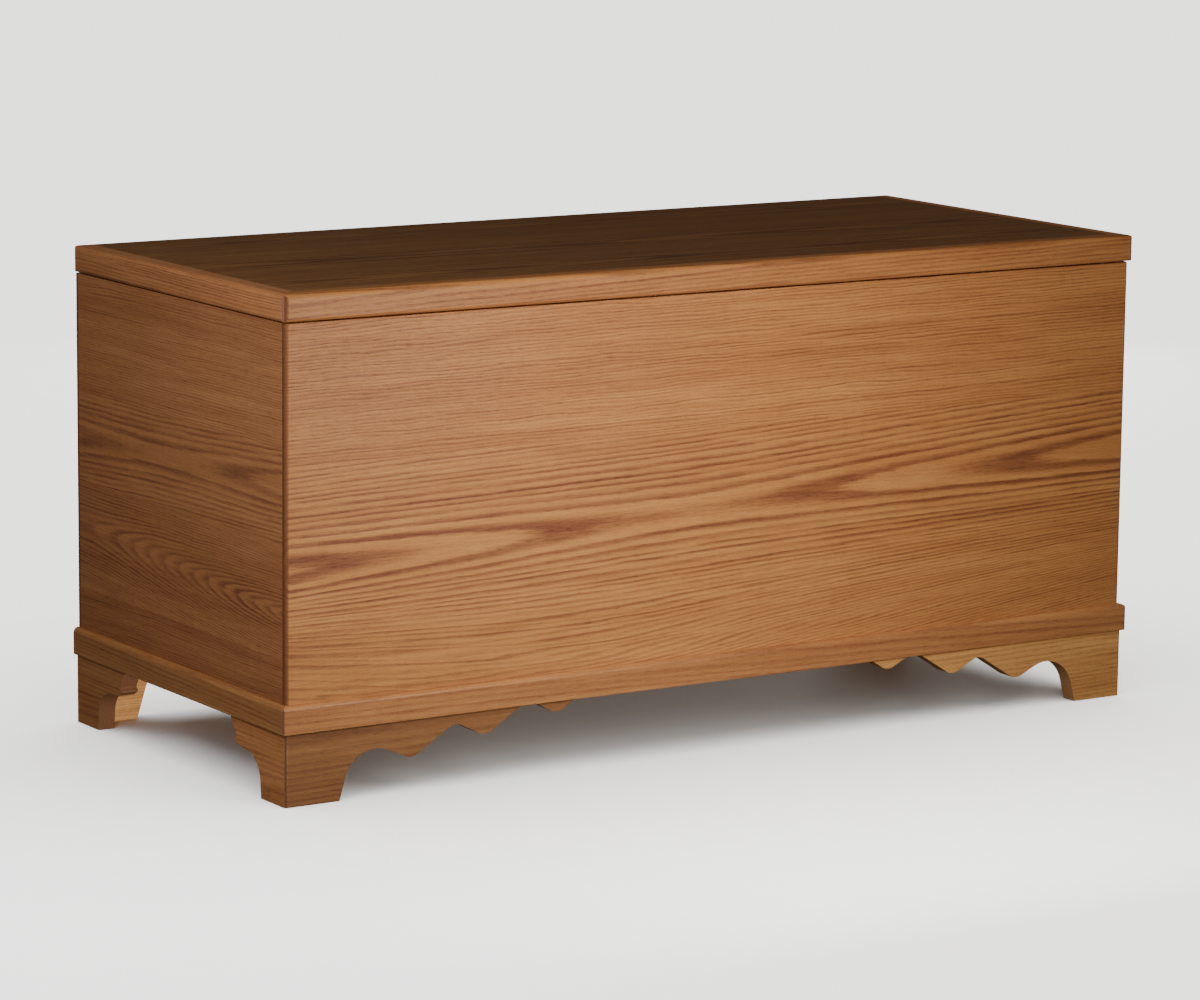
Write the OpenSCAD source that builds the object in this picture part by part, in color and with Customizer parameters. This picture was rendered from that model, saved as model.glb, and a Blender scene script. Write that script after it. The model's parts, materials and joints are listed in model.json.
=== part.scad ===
// Blanket chest in oak: a rabbeted board case on eight scalloped bracket feet, with a banded
// lift lid on two butt hinges and a folding stay at each end.
// X runs along the length, the front faces -Y, Z is up. The origin is on the floor, at the
// centre of the footprint. All sizes are in millimetres.

/* [Case] */
// Length of the case over its end panels
case_w = 1040; // [980:5:1120]
// Depth of the case over its front and back panels
case_d = 450; // [430:5:500]
// Height of the whole chest with the lid closed
total_h = 508; // [490:1:560]
// Thickness of the boards of the case, lid and feet
board_t = 19; // [18:0.5:20]
// Thickness of the lip of the front and back panels that covers the end panels
lip_t = 6; // [5:0.5:8]
// Radius of the front corners of the case
case_edge_r = 5; // [3:0.5:5]
// Thickness of the bottom panel
bottom_t = 12; // [9:1:14]
// Depth of the groove that holds the bottom panel
groove_d = 6; // [4:0.5:8]

/* [Base] */
// Height of the feet below the moulding
foot_h = 73.5; // [72:0.5:80]
// Height of the base moulding
moulding_h = 29; // [26:1:34]
// How far the base moulding stands out from the case
moulding_out = 6; // [5:0.5:8]
// How far the feet stand out from the case
foot_out = 2; // [1:0.5:3]
// Width of a foot on the front, at the floor
front_foot_w = 61.5; // [56:0.5:70]
// Width of a foot on the ends of the chest, at the floor
side_foot_w = 48.5; // [46:0.5:54]
// Distance from one scallop of the front bracket to the next
scallop_pitch = 85.5; // [80:0.5:90]
// How much higher each scallop is than the one before it
scallop_rise = 13.6; // [12:0.2:14]
// Number of scallops on each front bracket
scallop_count = 3; // [2:1:3]

/* [Lid] */
// Height of the bands round the lid
band_h = 28; // [26:1:34]
// Thickness of the bands round the lid
band_t = 20; // [18:1:24]
// How far the lid stands out from the front and the ends of the case
lid_out = 4; // [2:0.5:5]
// How far the back of the lid is set in from the back of the case
lid_back_in = 1.5; // [1:0.5:2]
// Radius of the top edges of the lid
lid_edge_r = 6; // [3:0.5:6]
// Radius of the upright corners of the lid
lid_corner_r = 7.5; // [4:0.5:9]
// Gap between the rim of the case and the closed lid
rim_gap = 1.5; // [1.5:0.5:2]
// Distance of each batten from the middle of the lid
batten_x = 260; // [200:10:320]

/* [Hinges] */
// Distance of each hinge from the middle of the chest
hinge_x = 330; // [250:10:400]
// Length of each hinge
hinge_w = 64; // [50:2:80]
// Thickness of the hinge leaves
leaf_t = 1.5; // [1.2:0.1:1.5]
// Outer radius of the hinge knuckles
knuckle_r = 3; // [3:0.1:3.4]
// Radius of the hinge pins
hinge_pin_r = 1.5; // [1.3:0.1:1.6]

/* [Stays] */
// Distance of the lower pivot of each stay in front of the hinge axis
stay_pivot_y = 60; // [60:1:75]
// Distance of the lower pivot of each stay below the hinge axis
stay_pivot_z = 190; // [170:1:200]
// Distance of the lid pivot of each stay in front of the hinge axis
stay_lid_y = 110; // [90:1:120]
// Distance of the lid pivot of each stay below the hinge axis
stay_lid_z = 8; // [6:0.5:10]
// Width of the stay arms
arm_w = 12; // [10:0.5:13]
// Thickness of the stay arms and brackets
arm_t = 2; // [1.5:0.25:2]
// Radius of the stay rivets
rivet_r = 3; // [2.5:0.1:3]

/* [Hidden] */

$fn = 48;
arc_step = 9;          // degrees between the points of a rounded corner
over = 1;              // how far a cut runs past the face that it opens

// Heights
lid_z = total_h - band_h;
rim_z = lid_z - rim_gap;
moulding_top = foot_h + moulding_h;
case_z = foot_h + moulding_h / 2;      // bottom of the panels, halfway up the moulding
bottom_z = moulding_top - bottom_t / 4;
lid_panel_z = total_h - board_t;

// Half sizes in plan
case_x = case_w / 2;
case_y = case_d / 2;
in_x = case_x - board_t;
in_y = case_y - board_t;
foot_x = case_x + foot_out;
foot_y = case_y + foot_out;
moulding_x = case_x + moulding_out;
moulding_y = case_y + moulding_out;
lid_x = case_x + lid_out;
lid_front = -case_y - lid_out;
lid_back = case_y - lid_back_in;
band_in_x = lid_x - band_t;

// Edges and small parts
foot_edge_r = 3;
back_edge_r = 2;
moulding_edge_r = 3;
ease_r = 1;
lid_bottom_r = 4;
block_w = 30;
block_z = 46;
batten_w = 60;
batten_t = 16;
batten_back_y = 180;
bumper_r = 4;
bumper_in = 12;

// Hinges
hinge_y = case_y + knuckle_r;
hinge_z = (rim_z + lid_z) / 2;
leaf_y = case_y - 15.5;                // front edge of the leaves
knuckle_count = 5;
knuckle_gap = 0.3;
pin_clearance = 0.05;
pin_head_h = 1.2;

// Screws
screw_r = 1.6;
screw_head_r = 3.1;
screw_l = 12;
hinge_screw_x = hinge_w / 3;
hinge_screw_y = case_y - 8;

// Stays: distances s are measured inwards from the inner face of an end panel
pivot_c = [hinge_y - stay_pivot_y, hinge_z - stay_pivot_z];
pivot_l = [hinge_y - stay_lid_y, hinge_z - stay_lid_z];
pivot_k = pivot_c + [-stay_lid_y, -stay_lid_z];
stay_gap = 0.3;
arm_end_r = arm_w / 2 - 0.1;
boss_t = 1;
lower_s = arm_t + boss_t + stay_gap;
upper_s = lower_s + arm_t + stay_gap;
ear_s = upper_s + arm_t + stay_gap;
rivet_head_r = 5;
rivet_head_t = 1.4;
stay_pin_r = 2.5;
stay_pin_play = 0.3;
plate_l = 56;
plate_w = 20;
plate_screw = 19;
foot_plate_w = 20;
foot_plate_l = 40;
foot_plate_screw = 13;

oak = [0.62, 0.42, 0.24];
oak_edge = [0.55, 0.36, 0.20];
bare_oak = [0.80, 0.64, 0.42];
brass = [0.80, 0.65, 0.32];
rubber = [0.35, 0.30, 0.25];

// ---- Outlines ----

function unit(v) = v / norm(v);

// Arc that rounds corner b of the path a, b, c to radius r
function corner_arc(a, b, c, r) =
    let (
        to_a = unit(a - b),
        to_c = unit(c - b),
        half = acos(to_a * to_c) / 2,
        centre = b + unit(to_a + to_c) * r / sin(half),
        start = unit(b + to_a * r / tan(half) - centre),
        end = unit(b + to_c * r / tan(half) - centre),
        sweep = 180 - 2 * half,
        steps = max(2, ceil(sweep / arc_step))
    )
    [for (i = [0 : steps])
        let (t = i / steps * sweep)
        centre + r * (start * sin(sweep - t) + end * sin(t)) / sin(sweep)];

function place(p) = [p[0], p[1]];

// Closed outline through corners [x, y, radius]; a radius of 0 leaves the corner sharp
function rounded(path) =
    let (n = len(path))
    [for (i = [0 : n - 1]) each
        path[i][2] == 0
            ? [place(path[i])]
            : corner_arc(place(path[(i + n - 1) % n]), place(path[i]),
                         place(path[(i + 1) % n]), path[i][2])];

// Front bracket, from the outer corner of the foot: the leg, an arch, then rounded scallops
// that climb towards the middle of the chest
arch = [80.5 + front_foot_w - 63, 63, 36];
first_scallop = [144, 33.4];
scallop_peak = [50.5, 31.5];
scallop_r = 15;
valley_r = 13;
scallop_slope = scallop_peak[1] / scallop_peak[0];
last_scallop = first_scallop + (scallop_count - 1) * [scallop_pitch, scallop_rise];
front_bracket_l = last_scallop[0] + (case_z - last_scallop[1]) / scallop_slope;
front_profile = rounded([
    [0, 0, 0],
    [front_foot_w, 0, 0],
    arch,
    for (i = [0 : scallop_count - 2])
        let (base = first_scallop + i * [scallop_pitch, scallop_rise])
        each [[base[0], base[1], scallop_r],
              [base[0] + scallop_peak[0], base[1] + scallop_peak[1], valley_r]],
    [last_scallop[0], last_scallop[1], scallop_r],
    [front_bracket_l, case_z, 0],
    [0, case_z, 0]
]);

// Side bracket: the leg, a round arch, a small nose and a slope up to the moulding
nose = side_foot_w + 54;
side_bracket_l = nose + 18;
side_profile = rounded([
    [0, 0, 0],
    [side_foot_w, 0, 0],
    [side_foot_w + 3.8, 41.5, 27],
    [nose - 8, 45, 8],
    [nose + 1.5, 50.5, 1.2],
    [nose - 3, 54.5, 1.5],
    [side_bracket_l, case_z, 0],
    [0, case_z, 0]
]);

// Back bracket: the leg, an arch and a plain slope
back_bracket_l = 190;
back_profile = rounded([
    [0, 0, 0],
    [front_foot_w, 0, 0],
    [arch[0], arch[1] - 6, 34],
    [back_bracket_l - 40, 55, 12],
    [back_bracket_l, case_z, 0],
    [0, case_z, 0]
]);

// Base moulding, p out from the case: rounded over at the top, lapping over the feet below
moulding_profile = rounded([
    [0, moulding_top, 0],
    [moulding_out, moulding_top, moulding_out - 0.2],
    [moulding_out, foot_h, ease_r],
    [foot_out, foot_h, 0],
    [foot_out, case_z, 0],
    [0, case_z, 0]
]);

// ---- Helpers ----

// Extrudes a (y, z) outline along +X
module along_x(length) rotate([90, 0, 90]) linear_extrude(length) children();

// Extrudes an (x, z) outline along +Y
module along_y(length) translate([0, length, 0]) rotate([90, 0, 0]) linear_extrude(length) children();

module block(low, high) translate(low) cube(high - low);

module right() mirror([1, 0, 0]) children();

// Plan of a frame piece with its front corners rounded
module footprint(x, y, r) polygon(rounded([[-x, -y, r], [x, -y, r], [x, case_y, 0], [-x, case_y, 0]]));

// Countersunk screw: its head is flush with z = 0 and its shank points down
module screw() {
    translate([0, 0, -screw_l]) cylinder(h = screw_l, r = screw_r);
    translate([0, 0, screw_r - screw_head_r])
        cylinder(h = screw_head_r - screw_r, r1 = screw_r, r2 = screw_head_r);
}

module hinge_screws(z, up) {
    for (side = [-1, 1], i = [-1 : 1])
        translate([side * hinge_x + i * hinge_screw_x, hinge_screw_y, z])
            rotate([up ? 180 : 0, 0, 0]) screw();
}

// ---- Case ----

// Front or back board in plan: a lip at each end covers the edge of the end panel
module lipped_board(edge_r) {
    polygon(rounded([
        [-case_x, -case_y, edge_r], [case_x, -case_y, edge_r],
        [case_x, lip_t - case_y, 0], [in_x, lip_t - case_y, 0],
        [in_x, -in_y, 0], [-in_x, -in_y, 0],
        [-in_x, lip_t - case_y, 0], [-case_x, lip_t - case_y, 0]
    ]));
}

module bottom_shape() {
    block([-in_x - groove_d, -in_y - groove_d, bottom_z],
          [in_x + groove_d, in_y + groove_d, bottom_z + bottom_t]);
}

module long_panel(edge_r) {
    difference() {
        translate([0, 0, case_z]) linear_extrude(rim_z - case_z) lipped_board(edge_r);
        block([-in_x, -in_y - groove_d, bottom_z], [in_x, over - in_y, bottom_z + bottom_t]);
    }
}

module front_panel() color(oak) long_panel(case_edge_r);

module back_panel() {
    color(oak) difference() {
        mirror([0, 1, 0]) long_panel(back_edge_r);
        for (side = [-1, 1])
            translate([side * hinge_x, 0, 0])
                block([-hinge_w / 2, leaf_y, rim_z - leaf_t], [hinge_w / 2, case_y + over, rim_z + over]);
        hinge_screws(rim_z, false);
    }
}

module end_panel() {
    difference() {
        block([-case_x, lip_t - case_y, case_z], [-in_x, case_y - lip_t, rim_z]);
        block([-in_x - groove_d, -in_y - groove_d, bottom_z],
              [over - in_x, in_y + groove_d, bottom_z + bottom_t]);
        plate_screws();
    }
}

module left_end_panel() color(oak) end_panel();
module right_end_panel() color(oak) right() end_panel();

module bottom_panel() color(bare_oak) bottom_shape();

module rim_bumpers() {
    color(rubber)
        for (side = [-1, 1])
            translate([side * (in_x - bumper_in), -case_y + board_t / 2, rim_z])
                cylinder(h = rim_gap, r = bumper_r);
}

// ---- Base ----

// Rails that close the frame under the case, between the brackets
module rail_x(x, y) block([-x, y, foot_h], [x, y + board_t, case_z]);

module base_rail_front() color(bare_oak) rail_x(foot_x - front_bracket_l, -foot_y);
module base_rail_back() color(bare_oak) rail_x(foot_x - back_bracket_l, in_y);

module end_rail() {
    block([-foot_x, side_bracket_l - foot_y, foot_h], [board_t - foot_x, case_y - side_bracket_l, case_z]);
}

module base_rail_left() color(bare_oak) end_rail();
module base_rail_right() color(bare_oak) right() end_rail();

module moulding_front() {
    color(oak) intersection() {
        translate([-moulding_x, -case_y, 0]) along_x(2 * moulding_x) mirror([1, 0]) polygon(moulding_profile);
        linear_extrude(total_h) intersection() {
            footprint(moulding_x, moulding_y, moulding_edge_r);
            polygon([[-moulding_x, -moulding_y], [moulding_x, -moulding_y],
                     [case_x, -case_y], [-case_x, -case_y]]);
        }
    }
}

module moulding_end() {
    intersection() {
        translate([-case_x, -moulding_y, 0]) along_y(moulding_y + case_y)
            mirror([1, 0]) polygon(moulding_profile);
        linear_extrude(total_h) intersection() {
            footprint(moulding_x, moulding_y, moulding_edge_r);
            polygon([[-moulding_x, -moulding_y], [-case_x, -case_y],
                     [-case_x, case_y], [-moulding_x, case_y]]);
        }
    }
}

module moulding_left() color(oak) moulding_end();
module moulding_right() color(oak) right() moulding_end();

// Scalloped bracket on the front, mitred at the corner
module front_bracket() {
    intersection() {
        translate([-foot_x, -foot_y, 0]) along_y(board_t) polygon(front_profile);
        linear_extrude(case_z) intersection() {
            footprint(foot_x, foot_y, foot_edge_r);
            polygon([[-foot_x, -foot_y], [0, -foot_y],
                     [0, board_t - foot_y], [board_t - foot_x, board_t - foot_y]]);
        }
    }
}

module bracket_front_left() color(oak) front_bracket();
module bracket_front_right() color(oak) right() front_bracket();

// Bracket at the front of an end, mitred to the front bracket
module end_front_bracket() {
    intersection() {
        translate([-foot_x, -foot_y, 0]) along_x(board_t) polygon(side_profile);
        linear_extrude(case_z) intersection() {
            footprint(foot_x, foot_y, foot_edge_r);
            polygon([[-foot_x, -foot_y], [board_t - foot_x, board_t - foot_y],
                     [board_t - foot_x, 0], [-foot_x, 0]]);
        }
    }
}

module end_back_bracket() {
    translate([-foot_x, case_y, 0]) mirror([0, 1, 0]) along_x(board_t) polygon(side_profile);
}

module bracket_left_front() color(oak) end_front_bracket();
module bracket_left_back() color(oak) end_back_bracket();
module bracket_right_front() color(oak) right() end_front_bracket();
module bracket_right_back() color(oak) right() end_back_bracket();

// Back bracket: butts against the inside of the end bracket
module back_bracket() {
    difference() {
        translate([-foot_x, in_y, 0]) along_y(board_t) polygon(back_profile);
        block([-foot_x - over, 0, -over], [board_t - foot_x, case_y + over, case_z + over]);
    }
}

module bracket_back_left() color(bare_oak) back_bracket();
module bracket_back_right() color(bare_oak) right() back_bracket();

// Glue block in a corner of the feet, its inner corner cut off; y is the inner face of the long bracket
module glue_block(y, towards) {
    x = board_t - foot_x;
    translate([0, 0, block_z]) linear_extrude(case_z - block_z)
        polygon([
            [x, y], [x + block_w, y], [x + block_w, y + towards * block_w / 3],
            [x + block_w / 3, y + towards * block_w], [x, y + towards * block_w]
        ]);
}

module block_front_left() color(bare_oak) glue_block(board_t - foot_y, 1);
module block_front_right() color(bare_oak) right() glue_block(board_t - foot_y, 1);
module block_back_left() color(bare_oak) glue_block(in_y, -1);
module block_back_right() color(bare_oak) right() glue_block(in_y, -1);

// ---- Lid ----

// The lid as one block, rounded along its top edges and upright corners
module lid_blank() {
    intersection() {
        translate([-lid_x, 0, 0]) along_x(2 * lid_x)
            polygon(rounded([[lid_front, lid_z, lid_bottom_r], [lid_back, lid_z, 0],
                             [lid_back, total_h, lid_edge_r], [lid_front, total_h, lid_edge_r]]));
        translate([0, lid_front, 0]) along_y(lid_back - lid_front)
            polygon(rounded([[-lid_x, lid_z, lid_bottom_r], [lid_x, lid_z, lid_bottom_r],
                             [lid_x, total_h, lid_edge_r], [-lid_x, total_h, lid_edge_r]]));
        translate([0, 0, lid_z]) linear_extrude(band_h)
            polygon(rounded([[-lid_x, lid_front, lid_corner_r], [lid_x, lid_front, lid_corner_r],
                             [lid_x, lid_back, lid_corner_r], [-lid_x, lid_back, lid_corner_r]]));
    }
}

// Part of the lid inside an outline seen from above
module lid_band(outline) {
    intersection() {
        lid_blank();
        translate([0, 0, lid_z]) linear_extrude(band_h) polygon(outline);
    }
}

module lid_panel() {
    color(oak) difference() {
        block([-band_in_x, lid_front + band_t, lid_panel_z], [band_in_x, lid_back - band_t, total_h]);
        foot_plate_screws();
        right() foot_plate_screws();
    }
}

// Mitred to the front band; the back band lies between the ends
module lid_band_end() {
    lid_band([[-lid_x, lid_front], [-band_in_x, lid_front + band_t],
              [-band_in_x, lid_back], [-lid_x, lid_back]]);
}

module lid_band_left() color(oak_edge) lid_band_end();
module lid_band_right() color(oak_edge) right() lid_band_end();

module lid_band_front() {
    color(oak_edge) lid_band([[-lid_x, lid_front], [lid_x, lid_front],
                              [band_in_x, lid_front + band_t], [-band_in_x, lid_front + band_t]]);
}

module lid_band_back() {
    color(oak_edge) difference() {
        lid_band([[-band_in_x, lid_back - band_t], [band_in_x, lid_back - band_t],
                  [band_in_x, lid_back], [-band_in_x, lid_back]]);
        for (side = [-1, 1])
            translate([side * hinge_x, 0, 0])
                block([-hinge_w / 2, leaf_y, lid_z - over], [hinge_w / 2, lid_back + over, lid_z + leaf_t]);
        hinge_screws(lid_z, true);
    }
}

module batten() {
    block([-batten_x - batten_w / 2, -batten_back_y, lid_panel_z - batten_t],
          [-batten_x + batten_w / 2, batten_back_y, lid_panel_z]);
}

module lid_batten_left() color(bare_oak) batten();
module lid_batten_right() color(bare_oak) right() batten();

// ---- Hinges ----

knuckle_w = hinge_w / knuckle_count;

// Cylinder along X on the hinge axis, round knuckle number i
module knuckle(i, r, grow) {
    translate([i * knuckle_w - hinge_w / 2 - grow, hinge_y, hinge_z]) rotate([0, 90, 0])
        cylinder(h = knuckle_w + 2 * grow, r = r);
}

// Leaf with its plate between low_z and high_z; it owns the knuckles first, first + 2, ...
module leaf(first, low_z, high_z, bore_r) {
    difference() {
        union() {
            block([-hinge_w / 2, leaf_y, low_z], [hinge_w / 2, hinge_y, high_z]);
            for (i = [first : 2 : knuckle_count - 1]) knuckle(i, knuckle_r, 0);
        }
        for (i = [1 - first : 2 : knuckle_count - 1]) knuckle(i, knuckle_r + knuckle_gap, knuckle_gap);
        translate([-hinge_w / 2 - over, hinge_y, hinge_z]) rotate([0, 90, 0])
            cylinder(h = hinge_w + 2 * over, r = bore_r);
    }
}

module case_leaf(side) {
    difference() {
        translate([side * hinge_x, 0, 0]) leaf(0, rim_z - leaf_t, rim_z, hinge_pin_r);
        hinge_screws(rim_z, false);
    }
}

module lid_leaf(side) {
    difference() {
        translate([side * hinge_x, 0, 0]) leaf(1, lid_z, lid_z + leaf_t, hinge_pin_r + pin_clearance);
        hinge_screws(lid_z, true);
    }
}

module hinge_pin(side) {
    translate([side * hinge_x - hinge_w / 2, hinge_y, hinge_z]) rotate([0, 90, 0]) {
        cylinder(h = hinge_w, r = hinge_pin_r);
        for (z = [-pin_head_h, hinge_w]) translate([0, 0, z]) cylinder(h = pin_head_h, r = knuckle_r - 0.4);
    }
}

module left_hinge_case_leaf() color(brass) case_leaf(-1);
module left_hinge_lid_leaf() color(brass) lid_leaf(-1);
module left_hinge_pin() color(brass) hinge_pin(-1);
module right_hinge_case_leaf() color(brass) case_leaf(1);
module right_hinge_lid_leaf() color(brass) lid_leaf(1);
module right_hinge_pin() color(brass) hinge_pin(1);
module hinge_case_screws() color(brass) hinge_screws(rim_z, false);
module hinge_lid_screws() color(brass) hinge_screws(lid_z, true);

// ---- Stays, drawn for the left end ----

// Cylinder along X at pivot p, from s1 to s2 inwards from the end panel
module pivot(p, s1, s2, r) {
    translate([s1 - in_x, p[0], p[1]]) rotate([0, 90, 0]) cylinder(h = s2 - s1, r = r);
}

// Flat arm with round ends from p to q
module arm(p, q, s) {
    low = -arm_w / 2;
    high = norm(q - p) + arm_w / 2;
    translate([s - in_x, p[0], p[1]]) rotate([atan2(q[1] - p[1], q[0] - p[0]), 0, 0]) along_x(arm_t)
        polygon(rounded([[low, low, arm_end_r], [high, low, arm_end_r],
                         [high, -low, arm_end_r], [low, -low, arm_end_r]]));
}

module plate_screws() {
    for (z = [-plate_screw, plate_screw])
        translate([arm_t - in_x, pivot_c[0], pivot_c[1] + z]) rotate([0, 90, 0]) screw();
}

module foot_plate_screws() {
    for (y = [-foot_plate_screw, foot_plate_screw])
        translate([ear_s + arm_t + foot_plate_w / 2 - in_x, pivot_l[0] + y, lid_panel_z - arm_t])
            rotate([180, 0, 0]) screw();
}

module stay_plate() {
    difference() {
        union() {
            block([-in_x, pivot_c[0] - plate_w / 2, pivot_c[1] - plate_l / 2],
                  [arm_t - in_x, pivot_c[0] + plate_w / 2, pivot_c[1] + plate_l / 2]);
            pivot(pivot_c, arm_t, arm_t + boss_t, arm_w / 2);
        }
        pivot(pivot_c, -over, arm_t + boss_t + over, rivet_r);
        plate_screws();
    }
}

module stay_pivot() {
    pivot(pivot_c, 0, upper_s - stay_gap / 2, rivet_r);
    pivot(pivot_c, upper_s - stay_gap / 2, upper_s - stay_gap / 2 + rivet_head_t, rivet_head_r);
}

module stay_lower_arm() {
    difference() {
        arm(pivot_c, pivot_k, lower_s);
        pivot(pivot_c, lower_s - over, lower_s + arm_t + over, rivet_r + pin_clearance);
        pivot(pivot_k, lower_s - over, lower_s + arm_t + over, rivet_r);
    }
}

module stay_knee_rivet() {
    pivot(pivot_k, lower_s, ear_s - stay_gap / 2, rivet_r);
    pivot(pivot_k, ear_s - stay_gap / 2, ear_s - stay_gap / 2 + rivet_head_t, rivet_head_r);
}

module stay_upper_arm() {
    difference() {
        arm(pivot_k, pivot_l, upper_s);
        pivot(pivot_k, upper_s - over, upper_s + arm_t + over, rivet_r + pin_clearance);
        pivot(pivot_l, upper_s - over, upper_s + arm_t + over, stay_pin_r + stay_pin_play);
    }
}

// Angle bracket under the lid: an ear down to the pin, and a plate screwed to the lid
module stay_lid_bracket() {
    difference() {
        union() {
            pivot(pivot_l, ear_s, ear_s + arm_t, arm_w / 2);
            block([ear_s - in_x, pivot_l[0] - arm_w / 2, pivot_l[1]],
                  [ear_s + arm_t - in_x, pivot_l[0] + arm_w / 2, lid_panel_z]);
            block([ear_s - in_x, pivot_l[0] - foot_plate_l / 2, lid_panel_z - arm_t],
                  [ear_s + arm_t + foot_plate_w - in_x, pivot_l[0] + foot_plate_l / 2, lid_panel_z]);
        }
        pivot(pivot_l, ear_s - over, ear_s + arm_t + over, stay_pin_r);
        foot_plate_screws();
    }
}

module stay_lid_pin() {
    pivot(pivot_l, upper_s - stay_gap, ear_s + arm_t, stay_pin_r);
    pivot(pivot_l, upper_s - stay_gap - rivet_head_t, upper_s - stay_gap, rivet_head_r - 0.5);
}

module left_stay_plate() color(brass) stay_plate();
module left_stay_pivot() color(brass) stay_pivot();
module left_stay_lower_arm() color(brass) stay_lower_arm();
module left_stay_knee_rivet() color(brass) stay_knee_rivet();
module left_stay_upper_arm() color(brass) stay_upper_arm();
module left_stay_lid_bracket() color(brass) stay_lid_bracket();
module left_stay_lid_pin() color(brass) stay_lid_pin();
module right_stay_plate() color(brass) right() stay_plate();
module right_stay_pivot() color(brass) right() stay_pivot();
module right_stay_lower_arm() color(brass) right() stay_lower_arm();
module right_stay_knee_rivet() color(brass) right() stay_knee_rivet();
module right_stay_upper_arm() color(brass) right() stay_upper_arm();
module right_stay_lid_bracket() color(brass) right() stay_lid_bracket();
module right_stay_lid_pin() color(brass) right() stay_lid_pin();

module stay_case_screws() {
    color(brass) {
        plate_screws();
        right() plate_screws();
    }
}

module stay_lid_screws() {
    color(brass) {
        foot_plate_screws();
        right() foot_plate_screws();
    }
}

// ---- Nodes ----

front_panel();
back_panel();
left_end_panel();
right_end_panel();
bottom_panel();
base_rail_front();
base_rail_back();
base_rail_left();
base_rail_right();
moulding_front();
moulding_left();
moulding_right();
bracket_front_left();
bracket_front_right();
bracket_left_front();
bracket_left_back();
bracket_right_front();
bracket_right_back();
bracket_back_left();
bracket_back_right();
block_front_left();
block_front_right();
block_back_left();
block_back_right();
lid_panel();
lid_band_front();
lid_band_back();
lid_band_left();
lid_band_right();
lid_batten_left();
lid_batten_right();
left_hinge_case_leaf();
left_hinge_lid_leaf();
left_hinge_pin();
right_hinge_case_leaf();
right_hinge_lid_leaf();
right_hinge_pin();
hinge_case_screws();
hinge_lid_screws();
left_stay_plate();
left_stay_pivot();
left_stay_lower_arm();
left_stay_knee_rivet();
left_stay_upper_arm();
left_stay_lid_bracket();
left_stay_lid_pin();
right_stay_plate();
right_stay_pivot();
right_stay_lower_arm();
right_stay_knee_rivet();
right_stay_upper_arm();
right_stay_lid_bracket();
right_stay_lid_pin();
stay_case_screws();
stay_lid_screws();
rim_bumpers();
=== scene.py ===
"""Looks of the oak blanket chest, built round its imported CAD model.

Units are metres, in the chest's own frame: X along its length, -Y out of the front, Z up from the floor.
"""
import json
import math
import random

import bmesh
import bpy
from mathutils import Matrix, Vector

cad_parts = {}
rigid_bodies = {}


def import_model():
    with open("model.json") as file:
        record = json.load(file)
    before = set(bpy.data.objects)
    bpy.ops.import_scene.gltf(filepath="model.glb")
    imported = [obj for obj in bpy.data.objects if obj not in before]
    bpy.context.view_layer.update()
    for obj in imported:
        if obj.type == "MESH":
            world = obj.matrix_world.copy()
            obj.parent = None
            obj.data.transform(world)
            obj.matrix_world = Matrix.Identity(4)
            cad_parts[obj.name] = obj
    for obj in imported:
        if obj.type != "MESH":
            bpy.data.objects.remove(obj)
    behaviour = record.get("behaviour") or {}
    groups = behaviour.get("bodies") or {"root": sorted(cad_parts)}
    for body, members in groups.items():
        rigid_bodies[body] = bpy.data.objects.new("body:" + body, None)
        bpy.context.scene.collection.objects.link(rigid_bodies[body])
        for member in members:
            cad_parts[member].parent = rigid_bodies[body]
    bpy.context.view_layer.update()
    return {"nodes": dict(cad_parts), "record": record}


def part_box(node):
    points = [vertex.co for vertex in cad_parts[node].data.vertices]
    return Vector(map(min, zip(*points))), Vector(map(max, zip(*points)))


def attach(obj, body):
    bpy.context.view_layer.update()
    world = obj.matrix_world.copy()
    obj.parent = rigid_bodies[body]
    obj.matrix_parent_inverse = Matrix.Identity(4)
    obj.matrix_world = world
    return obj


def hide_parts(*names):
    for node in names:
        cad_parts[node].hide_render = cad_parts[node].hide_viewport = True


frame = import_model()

BODY_OF = {node: body for body, nodes in frame["record"]["behaviour"]["bodies"].items() for node in nodes}
SLOT_OF = {part["node"]: part["material_slot"] for part in frame["record"]["subparts"]}
RIGHT = Vector((1, 0, 0))
LEFT = Vector((-1, 0, 0))
BACK = Vector((0, 1, 0))
FRONTWARD = Vector((0, -1, 0))
DOWN = Vector((0, 0, -1))
MM = 0.001


# ---- Node trees ----

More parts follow.
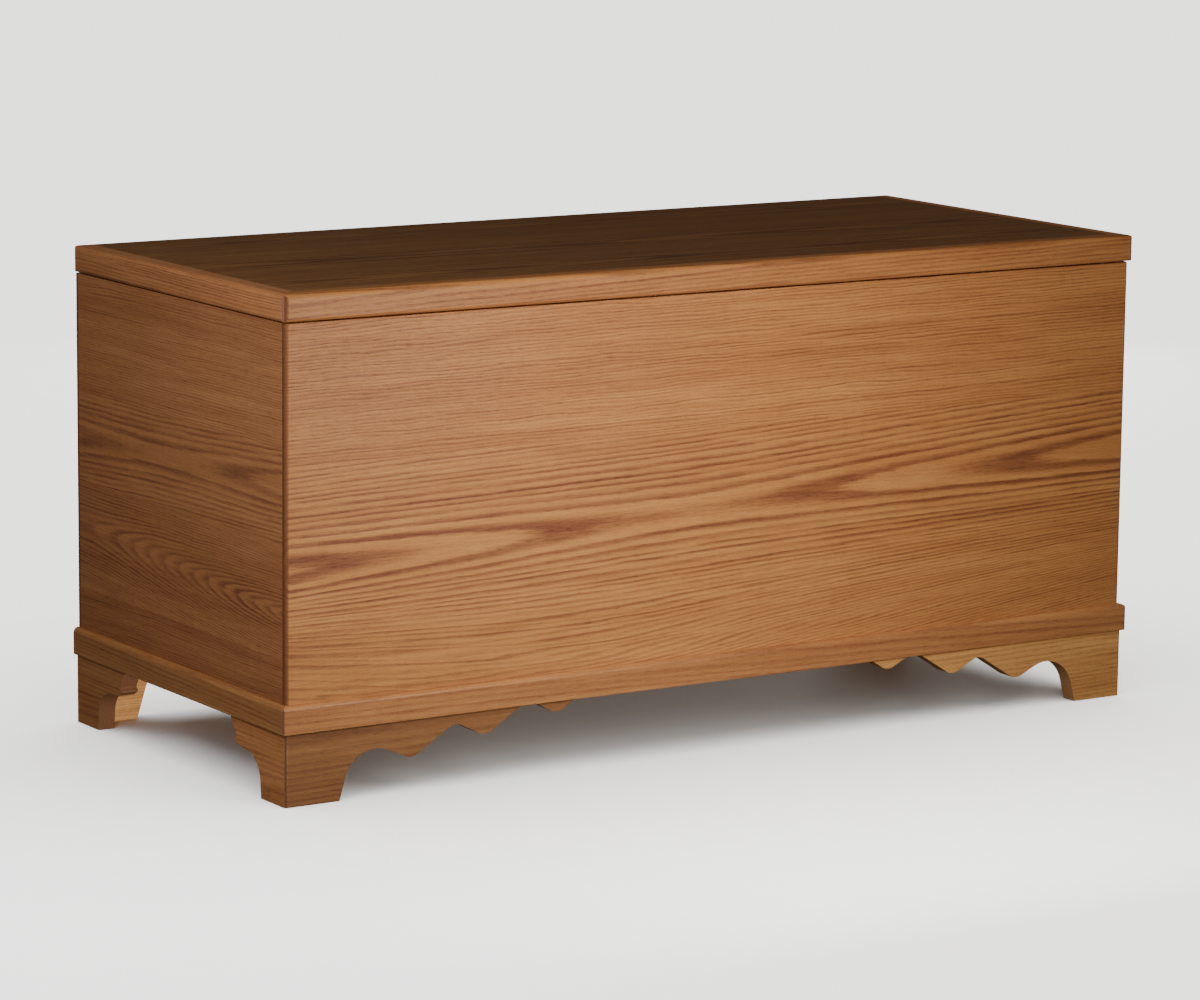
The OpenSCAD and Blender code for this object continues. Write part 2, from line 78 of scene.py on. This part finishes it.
class Tree:
    """Adds nodes to a node tree: a number or a colour sets an input, and a socket is linked to it."""

    def __init__(self, tree):
        self.tree = tree
        tree.nodes.clear()

    def fill(self, socket, value):
        if isinstance(value, bpy.types.NodeSocket):
            self.tree.links.new(value, socket)
        elif value is not None:
            socket.default_value = value

    def node(self, kind, inputs=None, **settings):
        made = self.tree.nodes.new(kind)
        for name, value in settings.items():
            setattr(made, name, value)
        for name, value in (inputs or {}).items():
            self.fill(made.inputs[name], value)
        return made

    def math(self, operation, a, b=None, c=None):
        return self.node("ShaderNodeMath", {0: a, 1: b, 2: c}, operation=operation).outputs[0]

    def scaled(self, vector, scale):
        return self.node("ShaderNodeVectorMath", {0: vector, 1: scale}, operation="MULTIPLY").outputs[0]

    def noise(self, vector, scale, detail=2.0, rough=0.5):
        """Noise about 0, from -0.5 to 0.5, of a vector that is scaled first."""
        made = self.node("ShaderNodeTexNoise", {"Vector": self.scaled(vector, scale), "Scale": 1.0,
                                                "Detail": detail, "Roughness": rough})
        return self.math("SUBTRACT", made.outputs[0], 0.5)

    def step(self, value, low, high, to_low=0.0, to_high=1.0):
        """Goes smoothly from to_low to to_high as value goes from low to high."""
        return self.node("ShaderNodeMapRange", {"Value": value, "From Min": low, "From Max": high,
                                                "To Min": to_low, "To Max": to_high},
                         interpolation_type="SMOOTHSTEP").outputs[0]

    def choose(self, whether, no, yes):
        """One of two numbers."""
        return self.node("ShaderNodeMix", {0: whether, 2: no, 3: yes}, data_type="FLOAT").outputs[0]

    def bump(self, strength, distance, height):
        inputs = {"Strength": strength, "Distance": distance, "Height": height}
        return self.node("ShaderNodeBump", inputs).outputs[0]

    def mix(self, factor, a, b, blend="MIX"):
        made = self.node("ShaderNodeMix", data_type="RGBA", blend_type=blend)
        self.fill(made.inputs["Factor"], factor)
        self.fill(made.inputs[6], a)
        self.fill(made.inputs[7], b)
        return made.outputs[2]


def group(name, inputs, outputs):
    """A new node group: inputs and outputs are {name: socket type}."""
    made = bpy.data.node_groups.new(name, "ShaderNodeTree")
    for label, kind in inputs.items():
        made.interface.new_socket(label, in_out="INPUT", socket_type=kind)
    for label, kind in outputs.items():
        made.interface.new_socket(label, in_out="OUTPUT", socket_type=kind)
    tree = Tree(made)
    source = tree.node("NodeGroupInput").outputs
    return made, tree, source


# ---- Oak ----

FLOAT, VECTOR, COLOUR = "NodeSocketFloat", "NodeSocketVector", "NodeSocketColor"
STAVE_INPUTS = ("heart", "tilt", "depth", "taper", "apex", "lift", "spread", "squeeze", "ring", "dense",
                "bold", "shade", "seed", "wander")


def oak_rings():
    """Growth rings of a stave. Its vector is (along the grain, across the face, into the wood).

    The heart of the tree lies at height heart + tilt * along, depth behind the face and nearer it by taper
    away from apex, so that the rings cut the face in long straight lines, and in pointed arches where the
    heart is near. Below the heart the lines climb by lift towards the low end, and lie wider apart there by
    spread. Rings are closer together across the face by squeeze, get closer by dense away from the heart,
    and are at least as dark as bold near it. Early is how much of a point is porous early wood, and Tone how
    light the wood is round it.
    """
    made, t, source = group("oak_rings", {"Board": VECTOR, **{name: FLOAT for name in STAVE_INPUTS}},
                            {"Early": FLOAT, "Tone": FLOAT})
    board = source["Board"]
    seed = source["seed"]
    shift = t.node("ShaderNodeCombineXYZ", {0: seed, 1: seed, 2: seed}).outputs[0]
    place = t.node("ShaderNodeVectorMath", {0: board, 1: shift}, operation="ADD").outputs[0]
    split = t.node("ShaderNodeSeparateXYZ", {0: board}).outputs
    along, across, into = split[0], split[1], split[2]

    # Distance from the heart line, beyond its depth at the apex
    height = t.math("SUBTRACT", across, t.math("MULTIPLY_ADD", along, source["tilt"], source["heart"]))
    short_wave = t.noise(place, (12.0, 60.0, 60.0), 1.0)
    long_wave = t.noise(place, (2.6, 11.0, 11.0), 2.0)
    wave = t.math("MULTIPLY_ADD", short_wave, 0.75, long_wave)
    height = t.math("MULTIPLY_ADD", wave, source["wander"], height)
    off = t.math("SUBTRACT", along, source["apex"])
    under = t.step(height, -0.14, -0.01, 1.0, 0.0)
    run = t.math("SQRT", t.math("MULTIPLY_ADD", off, off, 0.01))
    reach = t.math("MULTIPLY", t.math("SUBTRACT", run, off), 0.5)
    low_end = t.math("MULTIPLY", t.math("MULTIPLY", t.math("MULTIPLY", reach, reach), -1.0), under)
    height = t.math("MULTIPLY", t.math("MULTIPLY_ADD", low_end, source["lift"], height), source["squeeze"])
    depth = t.math("MULTIPLY_ADD", t.math("MULTIPLY", run, -1.0), source["taper"], source["depth"])
    depth = t.math("ADD", depth, into)
    radius = t.math("SQRT", t.math("MULTIPLY_ADD", height, height, t.math("MULTIPLY", depth, depth)))
    excess = t.math("SUBTRACT", radius, source["depth"])

    # Number of years from the apex, which is uneven from year to year and ragged along the grain
    ragged = t.math("MULTIPLY", t.noise(place, (24.0, 330.0, 330.0), 3.0, 0.62), 0.34)
    years = t.math("MULTIPLY_ADD", excess, source["dense"], 1.0)
    years = t.math("MULTIPLY_ADD", t.math("MULTIPLY", off, under), source["spread"], years)
    count = t.math("MULTIPLY_ADD", t.math("DIVIDE", excess, source["ring"]), years, seed)
    outward = t.node("ShaderNodeCombineXYZ", {0: excess, 1: seed}).outputs[0]
    uneven = t.noise(outward, (90.0, 1.0, 1.0), 1.0)
    count = t.math("MULTIPLY_ADD", uneven, t.step(excess, 0.0, 0.02, 0.0, 1.6), count)
    count = t.math("ADD", count, ragged)
    number = t.math("FLOOR", count)
    share = t.math("FRACT", count)

    # Early wood: a soft band in each year, of its own strength and broken here and there
    draw = t.node("ShaderNodeTexWhiteNoise", {"W": number}, noise_dimensions="1D").outputs[0]
    band = t.math("MULTIPLY", t.step(share, 0.0, 0.20), t.step(share, 0.28, 0.78, 1.0, 0.0))
    near = t.math("MULTIPLY", t.step(excess, -0.002, 0.024, 1.0, 0.0), source["bold"])
    above = t.step(height, 0.03, 0.14, 1.0, 0.70)
    below = t.step(height, -0.12, -0.03, 0.74, 1.0)
    far = t.math("MULTIPLY", above, below)
    strength = t.math("MAXIMUM", t.math("MULTIPLY", t.math("MULTIPLY_ADD", draw, 0.50, 0.46), far), near)
    breaks = t.step(t.noise(place, (11.0, 150.0, 150.0), 2.0), -0.18, 0.10, 0.42, 1.0)
    breaks = t.math("MAXIMUM", breaks, t.math("MULTIPLY", near, 0.85))
    early = t.math("MULTIPLY", t.math("MULTIPLY", band, strength), breaks)

    streaks = t.noise(place, (5.0, 85.0, 85.0), 2.0)
    clouds = t.noise(place, (1.1, 26.0, 26.0), 3.0)
    # A stave's shade is added to the tone; on the end panels it carries painted shade and painted light.
    tone = t.math("ADD", t.math("MULTIPLY_ADD", streaks, 0.8, clouds), source["shade"])
    t.node("NodeGroupOutput", {"Early": early, "Tone": tone})
    return made


def oak_skin():
    """Colour, height and roughness of finished oak, from its rings and from how far a face is cut across."""
    inputs = {"Board": VECTOR, "Early": FLOAT, "Tone": FLOAT, "End": FLOAT,
              "Late wood": COLOUR, "Early wood": COLOUR, "End wood": COLOUR}
    made, t, source = group("oak_skin", inputs, {"Colour": COLOUR, "Height": FLOAT, "Roughness": FLOAT})
    board = source["Board"]
    early = source["Early"]
    tone = source["Tone"]
    end = source["End"]

    # Pores are short dashes, thickest in early wood; fibres are long, flecks nearly round
    dash = t.noise(board, (85.0, 1700.0, 1700.0), 1.0)
    pores = t.math("MULTIPLY", t.step(dash, 0.03, 0.15), t.math("MULTIPLY_ADD", early, 0.65, 0.35))
    fibre = t.noise(board, (17.0, 430.0, 430.0), 4.0, 0.72)
    fleck = t.noise(board, (420.0, 700.0, 700.0), 2.0, 0.65)
    shade = t.math("MULTIPLY_ADD", tone, 0.50, 1.02)
    shade = t.math("MULTIPLY_ADD", fibre, 0.62, shade)
    shade = t.math("MULTIPLY_ADD", fleck, 0.42, shade)
    shade = t.math("MULTIPLY", shade, t.math("MULTIPLY_ADD", pores, -0.40, 1.0))

    # Darker wood is redder too
    cool = t.math("MULTIPLY", shade, t.math("MULTIPLY_ADD", t.math("ADD", tone, fibre), 0.20, 1.0))
    shades = t.node("ShaderNodeCombineColor", {0: shade, 1: cool, 2: cool}).outputs[0]
    colour = t.mix(1.0, t.mix(early, source["Late wood"], source["Early wood"]), shades, "MULTIPLY")

    # Cut ends are speckled by the pores that they cross
    speck = t.math("MULTIPLY_ADD", t.noise(board, (1100.0, 1100.0, 1100.0), 2.0, 0.7), 1.1, 0.96)
    specks = t.node("ShaderNodeCombineColor", {0: speck, 1: speck, 2: speck}).outputs[0]
    across = t.mix(t.math("MULTIPLY", early, 0.45), source["End wood"], source["Early wood"])
    colour = t.mix(end, colour, t.mix(1.0, across, specks, "MULTIPLY"))

    height = t.math("ADD", t.math("MULTIPLY", pores, -1.0), t.math("MULTIPLY", early, -0.35))
    height = t.math("MULTIPLY_ADD", fibre, 0.25, height)
    rough = t.math("ADD", t.math("MULTIPLY_ADD", pores, 0.16, 0.46), t.math("MULTIPLY", end, 0.18))
    t.node("NodeGroupOutput", {"Colour": colour, "Height": height, "Roughness": rough})
    return made


RINGS = oak_rings()
SKIN = oak_skin()


def stave(top, heart, depth, taper=0.018, apex=0.0, tilt=0.0, lift=0.0, spread=0.0, squeeze=1.0, ring=4.0,
          dense=1.0, bold=0.7, shade=0.0, seed=0.0, wander=6.0):
    """One stave of a board, up to the height top across the face. Only ring and wander are in millimetres."""
    return dict(top=top, heart=heart, tilt=tilt, depth=depth, taper=taper, apex=apex, lift=lift,
                spread=spread, squeeze=squeeze, ring=ring * MM, dense=dense, bold=bold, shade=shade,
                seed=seed, wander=wander * MM)


# Finishes: the colours of late wood, early wood and cut ends, from the boldest stain to bare wood
STAINED = dict(late=(0.585, 0.244, 0.075), early=(0.225, 0.066, 0.030), end=(0.34, 0.128, 0.052))
QUIET = dict(late=(0.57, 0.235, 0.074), early=(0.29, 0.095, 0.040), end=(0.34, 0.128, 0.052))
FINE = dict(late=(0.57, 0.232, 0.072), early=(0.335, 0.112, 0.042), end=(0.30, 0.125, 0.052))
SOFT = dict(late=(0.56, 0.228, 0.071), early=(0.40, 0.142, 0.050), end=(0.30, 0.125, 0.052))
BARE = dict(late=(0.66, 0.39, 0.175), early=(0.45, 0.235, 0.095), end=(0.44, 0.25, 0.11))
UNTINTED = (1.0, 1.0, 1.0)

# Weight and roughness of the clear coat
SATIN = (0.02, 0.35)
POLISHED = (0.18, 0.26)


def oak(name, along, across, staves, face, finish=STAINED, level=1.0, tint=UNTINTED, coat=SATIN):
    """Oak with its grain along one axis of the frame and its staves side by side across another.

    The hearts of the staves lie behind the face, which is (its place on the third axis, the way into the
    wood). The colours of the finish are multiplied by level and by tint.
    """
    material = bpy.data.materials.new(name)
    material.use_nodes = True
    t = Tree(material.node_tree)
    coordinates = t.node("ShaderNodeTexCoord").outputs
    into = next(axis for axis in "XYZ" if axis not in (along, across))
    place = t.node("ShaderNodeSeparateXYZ", {0: coordinates["Object"]}).outputs
    inward = t.math("MULTIPLY", t.math("SUBTRACT", place[into], face[0]), face[1])
    board = t.node("ShaderNodeCombineXYZ", {0: place[along], 1: place[across], 2: inward}).outputs[0]
    normal = t.node("ShaderNodeSeparateXYZ", {0: coordinates["Normal"]}).outputs
    end = t.step(t.math("ABSOLUTE", normal[along]), 0.12, 0.55)

    # From the top stave down, each stave takes over below its own top
    early = tone = None
    for item in reversed(staves):
        rings = t.node("ShaderNodeGroup", node_tree=RINGS)
        t.fill(rings.inputs["Board"], board)
        for key in STAVE_INPUTS:
            rings.inputs[key].default_value = item[key]
        if early is None:
            early, tone = rings.outputs["Early"], rings.outputs["Tone"]
        else:
            above = t.math("GREATER_THAN", place[across], item["top"])
            early = t.choose(above, rings.outputs["Early"], early)
            tone = t.choose(above, rings.outputs["Tone"], tone)

    colours = {wood: (*(level * k * c for k, c in zip(tint, colour)), 1.0)
               for wood, colour in finish.items()}
    skin = t.node("ShaderNodeGroup", node_tree=SKIN)
    values = {"Board": board, "Early": early, "Tone": tone, "End": end,
              "Late wood": colours["late"], "Early wood": colours["early"], "End wood": colours["end"]}
    for label, value in values.items():
        t.fill(skin.inputs[label], value)
    bump = t.bump(0.35, 0.4 * MM, skin.outputs["Height"])
    shader = t.node("ShaderNodeBsdfPrincipled", {
        "Base Color": skin.outputs["Colour"], "Roughness": skin.outputs["Roughness"], "Normal": bump,
        "Specular IOR Level": 0.22, "Coat Weight": coat[0], "Coat Roughness": coat[1]})
    t.node("ShaderNodeOutputMaterial", {"Surface": shader.outputs[0]})
    return material


def metal(name, colour, rough):
    """Brushed and lightly tarnished metal."""
    material = bpy.data.materials.new(name)
    material.use_nodes = True
    t = Tree(material.node_tree)
    place = t.node("ShaderNodeTexCoord").outputs["Object"]
    cloud = t.noise(place, (60.0, 60.0, 60.0), 4.0, 0.6)
    brush = t.noise(place, (900.0, 900.0, 60.0), 2.0)
    dark = tuple(0.45 * c for c in colour)
    tint = t.mix(t.step(cloud, -0.05, 0.28, 0.0, 0.7), (*colour, 1.0), (*dark, 1.0))
    roughness = t.math("ADD", t.math("MULTIPLY_ADD", cloud, 0.3, rough), t.math("MULTIPLY", brush, 0.12))
    bump = t.bump(0.12, 0.2 * MM, brush)
    shader = t.node("ShaderNodeBsdfPrincipled", {"Base Color": tint, "Roughness": roughness, "Normal": bump,
                                                 "Metallic": 1.0})
    t.node("ShaderNodeOutputMaterial", {"Surface": shader.outputs[0]})
    return material


def matt(name, colour, grain=900.0, mottle=0.35):
    """A matt material with a fine mottle, which lightens it by up to a share of its colour."""
    material = bpy.data.materials.new(name)
    material.use_nodes = True
    t = Tree(material.node_tree)
    place = t.node("ShaderNodeTexCoord").outputs["Object"]
    cloud = t.noise(place, (grain, grain, grain), 3.0)
    light = tuple(min(1.0, (1 + mottle) * c) for c in colour)
    tint = t.mix(t.step(cloud, -0.2, 0.2), (*colour, 1.0), (*light, 1.0))
    bump = t.bump(0.2, 0.2 * MM, cloud)
    shader = t.node("ShaderNodeBsdfPrincipled", {"Base Color": tint, "Normal": bump, "Roughness": 0.7})
    t.node("ShaderNodeOutputMaterial", {"Surface": shader.outputs[0]})
    return material


# ---- Pieces ----

EASE = 0.8 * MM  # radius of hand-sanded edges
CRISP = 0.3 * MM  # radius of edges that meet another piece
METAL_EASE = 0.15 * MM
OUTLINE_RADIUS = 2.4 * MM  # radius of the sawn outline of a bracket foot
WELD = 2e-6  # vertices nearer to each other than this, in metres, are one
FLAT = math.radians(1.5)  # faces that turn by less than this from each other are one
SHARP = math.radians(32)  # an edge that turns by more than this is sharp


def on_outline(edge, outer):
    """Whether an edge lies between a face that looks along outer and a sawn edge that is square to it."""
    facing = [face.normal.dot(outer) for face in edge.link_faces]
    return max(facing) > 0.99 and abs(min(facing)) < 0.05 and max(v.co.z for v in edge.verts) > MM


def bevel(work, edges, radius, segments):
    """Rounds some edges of a mesh that is being worked on."""
    bmesh.ops.bevel(work, geom=edges, offset=radius, offset_type="OFFSET", segments=segments, profile=0.5,
                    affect="EDGES", clamp_overlap=True)


def eased(node, radius, materials, inner=None, outer=None, segments=3):
    """A copy of a CAD node with its sharp edges rounded, which rides on the node's body and stands for it.

    The outline of a face that looks along outer is rounded to the outline radius, and faces that look along
    inner take the second material.
    """
    source = frame["nodes"][node]
    mesh = bpy.data.meshes.new(f"{node}_piece")
    work = bmesh.new()
    work.from_mesh(source.data)
    bmesh.ops.remove_doubles(work, verts=work.verts, dist=WELD)
    bmesh.ops.dissolve_limit(work, angle_limit=FLAT, verts=work.verts, edges=work.edges)
    if outer is not None:
        outline = [e for e in work.edges if len(e.link_faces) == 2 and on_outline(e, outer)]
        bevel(work, outline, OUTLINE_RADIUS, 4)
    sharp = [e for e in work.edges if len(e.link_faces) == 2 and e.calc_face_angle(0) > SHARP]
    bevel(work, sharp, radius, segments)
    bmesh.ops.triangulate(work, faces=[f for f in work.faces if len(f.verts) > 4])
    for face in work.faces:
        face.smooth = True
        face.material_index = 1 if inner is not None and face.normal.dot(inner) > 0.8 else 0
    work.to_mesh(mesh)
    work.free()
    mesh.set_sharp_from_angle(angle=SHARP)
    piece = bpy.data.objects.new(f"{node}_piece", mesh)
    bpy.context.scene.collection.objects.link(piece)
    for material in materials:
        mesh.materials.append(material)
    weights = piece.modifiers.new("normals", "WEIGHTED_NORMAL")
    weights.keep_sharp = True
    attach(piece, BODY_OF[node])
    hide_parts(node)


draw = random.Random(7)
TOP = 9.0  # above every board, so the top stave of a board has no upper end


def plain_stave(node, across, ring):
    """A stave for a small board, its heart somewhere behind or beside it."""
    low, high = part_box(node)
    index = "XYZ".index(across)
    middle = (low[index] + high[index]) / 2
    side = draw.choice((-1, 1))
    return [stave(TOP, heart=middle + side * draw.uniform(0.03, 0.07), depth=draw.uniform(0.03, 0.06),
                  taper=draw.uniform(0.005, 0.02), apex=draw.uniform(-0.3, 0.3),
                  tilt=draw.uniform(-0.03, 0.03), ring=ring * draw.uniform(0.85, 1.2),
                  seed=draw.uniform(1, 90), wander=4)]


def outer_face(node, axis, way):
    """The face of a node that looks up an axis if way is 1 and down it if way is -1, as oak() takes it."""
    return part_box(node)[way > 0]["XYZ".index(axis)], -way


def small_board(node, along, across, way=-1, radius=EASE, finish=STAINED, level=1.0, tint=UNTINTED,
                ring=3.2, inner=None, outer=None, coat=SATIN):
    """A board of one stave, whose outer face looks the given way along the third axis."""
    staves = plain_stave(node, across, ring)
    face = outer_face(node, next(axis for axis in "XYZ" if axis not in (along, across)), way)
    materials = [oak(f"oak_{node}", along, across, staves, face, finish, level, tint, coat)]
    if inner is not None:
        materials.append(oak(f"oak_{node}_inside", along, across, staves, face, BARE))
    eased(node, radius, materials, inner, outer)


# Staves of the panels, the lowest first. The front is one wide stave of arches under one of straight grain.
FRONT = [
    stave(0.339, heart=0.257, tilt=0.040, depth=0.0474, taper=0.0213, apex=-0.047, lift=0.42, spread=1.25,
          ring=5.2, bold=0.9, seed=2.984, wander=3),
    stave(TOP, heart=0.13, tilt=0.012, depth=0.05, taper=0.012, apex=-0.1, ring=4.0, dense=0.3, shade=-0.14,
          seed=11.0, wander=9),
]
# On the end panels the stave shades are painted shade on the two lowest staves, so they get darker towards
# the bottom, and painted light on the fourth stave.
SIDE = [
    stave(0.147, heart=0.30, depth=0.05, taper=0.02, ring=3.2, shade=-0.22, seed=21.0),
    stave(0.262, heart=0.204, tilt=0.05, depth=0.1034, taper=0.19, apex=0.22, squeeze=2.1, ring=5.0,
          bold=0.5, shade=-0.10, seed=5.0),
    stave(0.355, heart=0.314, tilt=-0.03, depth=0.045, taper=0.022, apex=0.03, ring=3.6, seed=8.4, wander=4),
    stave(0.434, heart=0.25, depth=0.06, ring=3.0, shade=0.08, seed=13.0),
    stave(TOP, heart=0.60, depth=0.06, ring=2.9, seed=17.0),
]
LID = [
    stave(-0.10, heart=-0.15, tilt=0.01, depth=0.06, apex=0.1, ring=3.6, seed=31.0),
    stave(0.04, heart=-0.02, tilt=-0.02, depth=0.07, apex=-0.2, ring=4.0, seed=37.0),
    stave(TOP, heart=0.16, depth=0.05, apex=0.2, ring=3.6, seed=41.0),
]
BACK_BOARD = [
    stave(0.25, heart=0.16, tilt=-0.02, depth=0.055, taper=0.016, apex=0.20, ring=4.6, seed=53.0),
    stave(0.37, heart=0.44, tilt=0.01, depth=0.06, taper=0.01, ring=3.4, shade=-0.08, seed=59.0),
    stave(TOP, heart=0.42, tilt=0.02, depth=0.045, taper=0.015, apex=-0.25, ring=4.2, seed=61.0),
]


def other_end(staves):
    """Staves like the given ones, from the other end of the same boards."""
    return [dict(item, seed=item["seed"] + 40, apex=-item["apex"], tilt=-item["tilt"]) for item in staves]


def panel(node, along, across, into, way, staves, inner, radius=EASE, finish=STAINED, level=1.0,
          tint=UNTINTED):
    """A wide panel of several staves, stained outside and bare inside."""
    face = outer_face(node, into, way)
    eased(node, radius, [oak(f"oak_{node}", along, across, staves, face, finish, level, tint),
                         oak(f"oak_{node}_inside", along, across, staves, face, BARE)], inner)


# Case. A side is (its name, the way that its outer face looks, the direction of its inner face).
END_TINT = (0.96, 0.99, 1.15)
LONG_SIDES = ("front", -1, BACK), ("back", 1, FRONTWARD)
SHORT_SIDES = ("left", -1, RIGHT), ("right", 1, LEFT)
panel("front_panel", "X", "Z", "Y", -1, FRONT, BACK)
panel("back_panel", "X", "Z", "Y", 1, BACK_BOARD, FRONTWARD, level=0.95)
panel("left_end_panel", "Y", "Z", "X", -1, SIDE, RIGHT, finish=QUIET, level=1.04, tint=END_TINT)
panel("right_end_panel", "Y", "Z", "X", 1, other_end(SIDE), LEFT, finish=QUIET, level=0.95, tint=END_TINT)
small_board("bottom_panel", "X", "Y", 1, finish=BARE, ring=4.5)
for name, way, inward in LONG_SIDES:
    small_board(f"base_rail_{name}", "X", "Z", way, finish=FINE, inner=inward)
for name, way, inward in SHORT_SIDES:
    small_board(f"base_rail_{name}", "Y", "Z", way, finish=FINE, inner=inward)

# Base. The front feet carry painted light in their level and tint: painted shade makes the left front foot
# the darkest and painted light makes the right one the lightest.
FRONT_FOOT_PAINTED_SHADE_AND_LIGHT = {"left": (0.56, (1.0, 1.06, 1.20)), "right": (1.36, (1.0, 1.20, 1.18))}
END_FOOT_LEVEL = {"front": 1.24, "back": 0.95}
END_FOOT_TINT = (1.0, 1.06, 1.18)
small_board("moulding_front", "X", "Z", finish=SOFT, level=0.95, tint=(1.0, 1.06, 1.16), ring=4.5,
            coat=POLISHED)
for name, way, inward in SHORT_SIDES:
    small_board(f"moulding_{name}", "Y", "Z", way, finish=SOFT, level=0.79, tint=(1.0, 1.10, 1.18), ring=4.0,
                coat=POLISHED)
    # The front foot of each end takes its painted shade or painted light as level and tint.
    small_board(f"bracket_front_{name}", "X", "Z", -1, CRISP, SOFT, *FRONT_FOOT_PAINTED_SHADE_AND_LIGHT[name], ring=4.5,
                inner=BACK, outer=FRONTWARD)
    small_board(f"bracket_back_{name}", "X", "Z", 1, finish=FINE, inner=FRONTWARD, outer=BACK)
    for end, level in END_FOOT_LEVEL.items():
        small_board(f"bracket_{name}_{end}", "Y", "Z", way, CRISP, SOFT, level, END_FOOT_TINT, ring=3.5,
                    inner=inward, outer=-inward)
        small_board(f"block_{end}_{name}", "Z", "X", finish=BARE)

# Lid
panel("lid_panel", "X", "Y", "Z", 1, LID, DOWN, radius=CRISP, tint=(0.98, 1.07, 1.05))
small_board("lid_band_front", "X", "Z", -1, CRISP, QUIET, 0.90, ring=2.8)
small_board("lid_band_back", "X", "Z", 1, CRISP, QUIET)
small_board("lid_band_left", "Y", "Z", -1, CRISP, FINE, 0.86, (1.0, 1.05, 1.25), ring=2.6)
small_board("lid_band_right", "Y", "Z", 1, CRISP, FINE, 1.05, (1.0, 1.03, 1.12), ring=2.6)
for name in ("left", "right"):
    small_board(f"lid_batten_{name}", "Y", "X", -1, 2 * MM, finish=BARE)

# Hardware
BRASS = metal("satin_brass", (0.72, 0.50, 0.20), 0.30)
RUBBER = matt("bumper_rubber", (0.12, 0.10, 0.08))
for node in frame["nodes"]:
    if SLOT_OF[node] == "brass":
        eased(node, METAL_EASE, [BRASS], segments=2)
eased("rim_bumpers", CRISP, [RUBBER])


# ---- Stage, lights and camera ----

def stage():
    """A plain pale floor, which the chest neither mirrors nor gets light from, in a dim warm room."""
    bpy.ops.mesh.primitive_plane_add(size=60)
    floor = bpy.context.object
    floor.name = "floor"
    floor.data.materials.append(matt("pale_floor", (0.78, 0.77, 0.75), 30.0, mottle=0.02))
    floor.visible_diffuse = floor.visible_glossy = False
    world = bpy.data.worlds.new("studio")
    bpy.context.scene.world = world
    world.use_nodes = True
    background = world.node_tree.nodes["Background"].inputs
    background["Color"].default_value = (1.0, 0.84, 0.68, 1.0)
    background["Strength"].default_value = 0.10
    return floor


def light_only(lamp, *lit):
    """Lets a lamp light only the given objects."""
    receivers = bpy.data.collections.new(f"{lamp.name}_receivers")
    for thing in lit:
        receivers.objects.link(thing)
    lamp.light_linking.receiver_collection = receivers


def lamp_object(light):
    """A lamp in the scene that gives a light."""
    lamp = bpy.data.objects.new(light.name, light)
    bpy.context.scene.collection.objects.link(lamp)
    return lamp


def softbox(name, place, target, size, power, colour=(1.0, 1.0, 1.0)):
    """A rectangular lamp that faces a target; its size is (width, height) and its power is in watts."""
    light = bpy.data.lights.new(name, "AREA")
    light.shape = "RECTANGLE"
    light.size, light.size_y = size
    light.energy = power
    light.color = colour
    lamp = lamp_object(light)
    lamp.location = place
    lamp.rotation_euler = (Vector(target) - Vector(place)).to_track_quat("-Z", "Y").to_euler()
    lamp.visible_camera = False
    return lamp


def pieces(*nodes):
    """The pieces that stand for some CAD nodes."""
    return [bpy.data.objects[f"{node}_piece"] for node in nodes]


def camera():
    """A long lens from the front left, a little above the lid."""
    lens = bpy.data.cameras.new("camera")
    lens.sensor_width = 36.0
    lens.lens = 141.8
    lens.clip_end = 200
    view = bpy.data.objects.new("camera", lens)
    bpy.context.scene.collection.objects.link(view)
    # Right of +Y, up from level, and the roll
    yaw, pitch, roll = (math.radians(angle) for angle in (32.84, -9.906, 0.598))
    turn = (Matrix.Rotation(-yaw, 4, "Z") @ Matrix.Rotation(math.pi / 2 + pitch, 4, "X")
            @ Matrix.Rotation(roll, 4, "Z"))
    view.matrix_world = Matrix.Translation((-2.7109, -4.1819, 1.0979)) @ turn
    bpy.context.scene.camera = view


# The floor has a wide sun of its own, which leaves a soft shadow
FLOOR = stage()
sky = bpy.data.lights.new("ceiling", "SUN")
sky.energy = 9.5
sky.angle = math.radians(100)
light_only(lamp_object(sky), FLOOR)

# The key is near the front. The fill, from the left, lights the rest; two fronts get a weaker, warmer one.
FRONTS = pieces("front_panel", "moulding_front", "lid_band_front")
FILL = (-1.22, -0.60, 0.70), (-0.5, -0.15, 0.4), (0.5, 0.4)
softbox("key", (-0.15, -0.92, 0.42), (-0.15, 0, 0.37), (0.6, 0.4), 5.7)
fill = softbox("fill", *FILL, 3.9, (0.98, 1.0, 1.13))
light_only(fill, *(thing for thing in bpy.data.objects if thing.type == "MESH" and thing not in FRONTS))
front_fill = softbox("front_fill", *FILL, 2.5, (1.0, 1.0, 1.02))
light_only(front_fill, *pieces("front_panel", "moulding_front"))
softbox("rear", (1.6, 2.4, 0.30), (0.2, 0, 0.3), (1.2, 0.4), 14)
softbox("right", (2.4, -0.4, 0.30), (0.5, 0, 0.3), (1.0, 0.4), 5)

# Small lamps for the left band of the lid, the ledges, the feet at the back left and the inside
edge = softbox("edge", (-0.81, -0.24, 0.52), (-0.52, -0.24, 0.50), (0.1, 0.1), 0.16)
light_only(edge, *pieces("lid_band_left"))
above = softbox("above", (-1.3, -1.1, 3.0), (0, 0, 0.3), (0.8, 0.8), 22, (1.0, 0.95, 0.9))
light_only(above, *pieces("moulding_front", "moulding_left", "moulding_right", "lid_band_front",
                          "lid_band_left", "lid_band_right"))
CORNER = (-0.49, -0.15, 0.035), (-0.49, 0.2, 0.03), (0.10, 0.05)
low = softbox("low", *CORNER, 1.0, (1.0, 0.80, 0.58))
light_only(low, *pieces("bracket_back_left"))
corner = softbox("corner", *CORNER, 0.35)
light_only(corner, *pieces("bracket_left_back"))
inside = softbox("inside", (0, 0, 1.9), (0, 0, 0), (0.6, 0.2), 14)
light_only(inside, *pieces("bottom_panel", "front_panel", "back_panel", "left_end_panel", "right_end_panel"))
camera()
